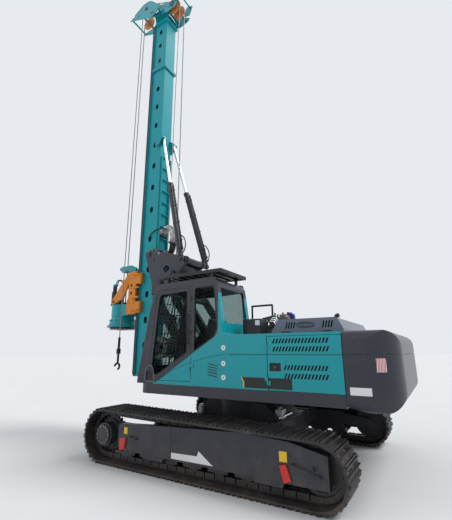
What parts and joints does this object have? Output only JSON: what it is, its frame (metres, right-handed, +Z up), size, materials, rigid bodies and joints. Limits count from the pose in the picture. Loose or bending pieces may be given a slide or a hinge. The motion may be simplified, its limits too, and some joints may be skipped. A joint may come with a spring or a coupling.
{
  "type": "rotary piling rig",
  "caption": "Tracked drilling machine with a tall box mast, sliding rotary head, luffing linkage, cab and counterweight.",
  "frame": {"origin": "on the ground under the middle of the machine's plan box, half-way between the tail and the front of the power head", "axes": "+X forward, towards the mast; +Y to the machine's left, the cab side; +Z up"},
  "size_m": [6.97, 3.95, 12.5755],
  "materials": {
    "teal_paint": "semi-gloss paint",
    "dark_paint": "satin dark grey paint",
    "bare_steel": "greased steel",
    "track_steel": "dark steel, worn grouser tips",
    "cast_block": "painted casting",
    "hood_paint": "satin grey paint",
    "window_glass": "tinted glass",
    "seat_cloth": "woven seat cloth",
    "black_paint": "black paint",
    "chrome_rod": "hard chrome",
    "sheave_paint": "orange paint",
    "orange_paint": "orange paint",
    "rope_wire": "greased wire rope"
  },
  "bodies": {
    "undercarriage": {"car_body": "dark_paint", "slew_ring": "bare_steel"},
    "track_side_left": {"track_frame_left": "dark_paint", "track_left": "track_steel", "running_gear_left": "dark_paint"},
    "track_side_right": {"track_frame_right": "dark_paint", "track_right": "track_steel", "running_gear_right": "dark_paint"},
    "upper": {"upper_frame": "dark_paint", "counterweight": "dark_paint", "engine_block": "cast_block", "side_cover_left": "teal_paint", "side_cover_right": "teal_paint", "tank_housing": "teal_paint", "cab_shell": "dark_paint", "cab_glass": "window_glass", "cab_seat": "seat_cloth", "guard_rails": "black_paint"},
    "cab_door": {"cab_door": "dark_paint", "door_glass": "window_glass"},
    "louvre_door": {"louvre_door_left": "teal_paint"},
    "hood": {"engine_hood": "hood_paint"},
    "luffing_arm": {"luffing_arm": "dark_paint"},
    "parallel_link": {"parallel_link": "dark_paint"},
    "luffing_barrels": {"luffing_barrels": "dark_paint"},
    "luffing_rods": {"luffing_rods": "chrome_rod"},
    "mast_carrier": {"mast_carrier": "dark_paint"},
    "mast_barrel_left": {"mast_barrel_left": "dark_paint"},
    "mast_barrel_right": {"mast_barrel_right": "dark_paint"},
    "mast_rod_left": {"mast_rod_left": "chrome_rod"},
    "mast_rod_right": {"mast_rod_right": "chrome_rod"},
    "mast": {"mast": "teal_paint", "mast_head": "teal_paint", "winch_frame": "dark_paint", "crowd_barrel": "dark_paint", "ropes": "rope_wire", "rope_hook": "black_paint"},
    "carriage": {"carriage": "orange_paint", "crowd_rod": "chrome_rod", "power_head": "teal_paint"},
    "spindle": {"drive_spindle": "dark_paint"},
    "main_sheave_front": {"main_sheave_front": "sheave_paint"},
    "aux_sheave_front": {"aux_sheave_front": "sheave_paint"},
    "rear_sheaves": {"rear_sheaves": "sheave_paint"},
    "main_drum": {"main_drum": "bare_steel"},
    "aux_drum": {"aux_drum": "bare_steel"}
  },
  "joints": [
    {"name": "track_left_in", "type": "slide", "parent": "undercarriage", "child": "track_side_left", "axis": [0, -1, 0], "range_m": [0, 0.475]},
    {"name": "track_right_in", "type": "slide", "parent": "undercarriage", "child": "track_side_right", "axis": [0, 1, 0], "range_m": [0, 0.475]},
    {"name": "slew", "type": "hinge", "parent": "undercarriage", "child": "upper", "pos_m": [-0.585, 0, 1.03], "axis": [0, 0, 1], "continuous": true},
    {"name": "cab_door", "type": "hinge", "parent": "upper", "child": "cab_door", "pos_m": [-0.297, 1.5583, 2.1], "axis": [0, 0, 1], "range_deg": [0, 150]},
    {"name": "louvre_door", "type": "hinge", "parent": "upper", "child": "louvre_door", "pos_m": [-1.715, 1.5583, 1.65], "axis": [0, 0, -1], "range_deg": [0, 110]},
    {"name": "hood", "type": "hinge", "parent": "upper", "child": "hood", "pos_m": [-2.765, 0, 2.0733], "axis": [0, -1, 0], "range_deg": [0, 50]},
    {"name": "luffing", "type": "hinge", "parent": "upper", "child": "luffing_arm", "pos_m": [0.645, 0, 1.7], "axis": [0, -1, 0], "range_deg": [-10, 8]},
    {"name": "carrier_level", "type": "hinge", "parent": "luffing_arm", "child": "mast_carrier", "pos_m": [1.59489, 0, 3.00982], "axis": [0, -1, 0], "range_deg": [-8.16, 10.2]},
    {"name": "link_swing", "type": "hinge", "parent": "upper", "child": "parallel_link", "pos_m": [0.245, 0, 2.26], "axis": [0, -1, 0], "range_deg": [-10.2, 8.16]},
    {"name": "luffing_barrel_swing", "type": "hinge", "parent": "upper", "child": "luffing_barrels", "pos_m": [-0.025, 0, 1.48], "axis": [0, -1, 0], "range_deg": [-6.12, 4.9]},
    {"name": "luffing_rod_slide", "type": "slide", "parent": "luffing_barrels", "child": "luffing_rods", "axis": [0.7733, 0, 0.634], "range_m": [-0.0349, 0.0436]},
    {"name": "mast_tilt", "type": "hinge", "parent": "mast_carrier", "child": "mast", "pos_m": [1.965, 0, 4.14982], "axis": [0, -1, 0], "range_deg": [-5, 15]},
    {"name": "mast_barrel_left_swing", "type": "hinge", "parent": "mast_carrier", "child": "mast_barrel_left", "pos_m": [0.815, 0.5, 3.85], "axis": [0, -1, 0], "range_deg": [-4.39, 13.16]},
    {"name": "mast_rod_left_slide", "type": "slide", "parent": "mast_barrel_left", "child": "mast_rod_left", "axis": [0.2581, -0.0789, 0.9629], "range_m": [-0.2879, 0.096]},
    {"name": "mast_barrel_right_swing", "type": "hinge", "parent": "mast_carrier", "child": "mast_barrel_right", "pos_m": [0.815, -0.5, 3.85], "axis": [0, -1, 0], "range_deg": [-4.39, 13.16]},
    {"name": "mast_rod_right_slide", "type": "slide", "parent": "mast_barrel_right", "child": "mast_rod_right", "axis": [0.2581, 0.0789, 0.9629], "range_m": [-0.2879, 0.096]},
    {"name": "crowd", "type": "slide", "parent": "mast", "child": "carriage", "axis": [0, 0, 1], "range_m": [-1.1, 1.7]},
    {"name": "spindle_turn", "type": "hinge", "parent": "carriage", "child": "spindle", "pos_m": [3.095, 0, 2.36], "axis": [0, 0, -1], "continuous": true},
    {"name": "main_sheave_turn", "type": "hinge", "parent": "mast", "child": "main_sheave_front", "pos_m": [2.885, -0.04, 12.36], "axis": [0, 1, 0], "continuous": true},
    {"name": "aux_sheave_turn", "type": "hinge", "parent": "mast", "child": "aux_sheave_front", "pos_m": [2.565, 0.36, 12.29], "axis": [0, 1, 0], "continuous": true},
    {"name": "rear_sheaves_turn", "type": "hinge", "parent": "mast", "child": "rear_sheaves", "pos_m": [1.615, 0, 12], "axis": [0, 1, 0], "continuous": true},
    {"name": "main_winch", "type": "hinge", "parent": "mast", "child": "main_drum", "pos_m": [1.61, 0, 1.9], "axis": [0, 1, 0], "continuous": true},
    {"name": "aux_winch", "type": "hinge", "parent": "mast", "child": "aux_drum", "pos_m": [1.667, 0, 3.33], "axis": [0, 1, 0], "continuous": true}
  ],
  "couplings": [
    {"joint": "carrier_level", "follows": "luffing", "ratio": -1},
    {"joint": "link_swing", "follows": "luffing", "ratio": 1},
    {"joint": "luffing_barrel_swing", "follows": "luffing", "ratio": 0.6},
    {"joint": "luffing_rod_slide", "follows": "luffing", "m_per_rad": -0.245},
    {"joint": "mast_barrel_left_swing", "follows": "mast_tilt", "ratio": 0.86},
    {"joint": "mast_rod_left_slide", "follows": "mast_tilt", "m_per_rad": -1.078},
    {"joint": "mast_barrel_right_swing", "follows": "mast_tilt", "ratio": 0.86},
    {"joint": "mast_rod_right_slide", "follows": "mast_tilt", "m_per_rad": -1.078}
  ]
}
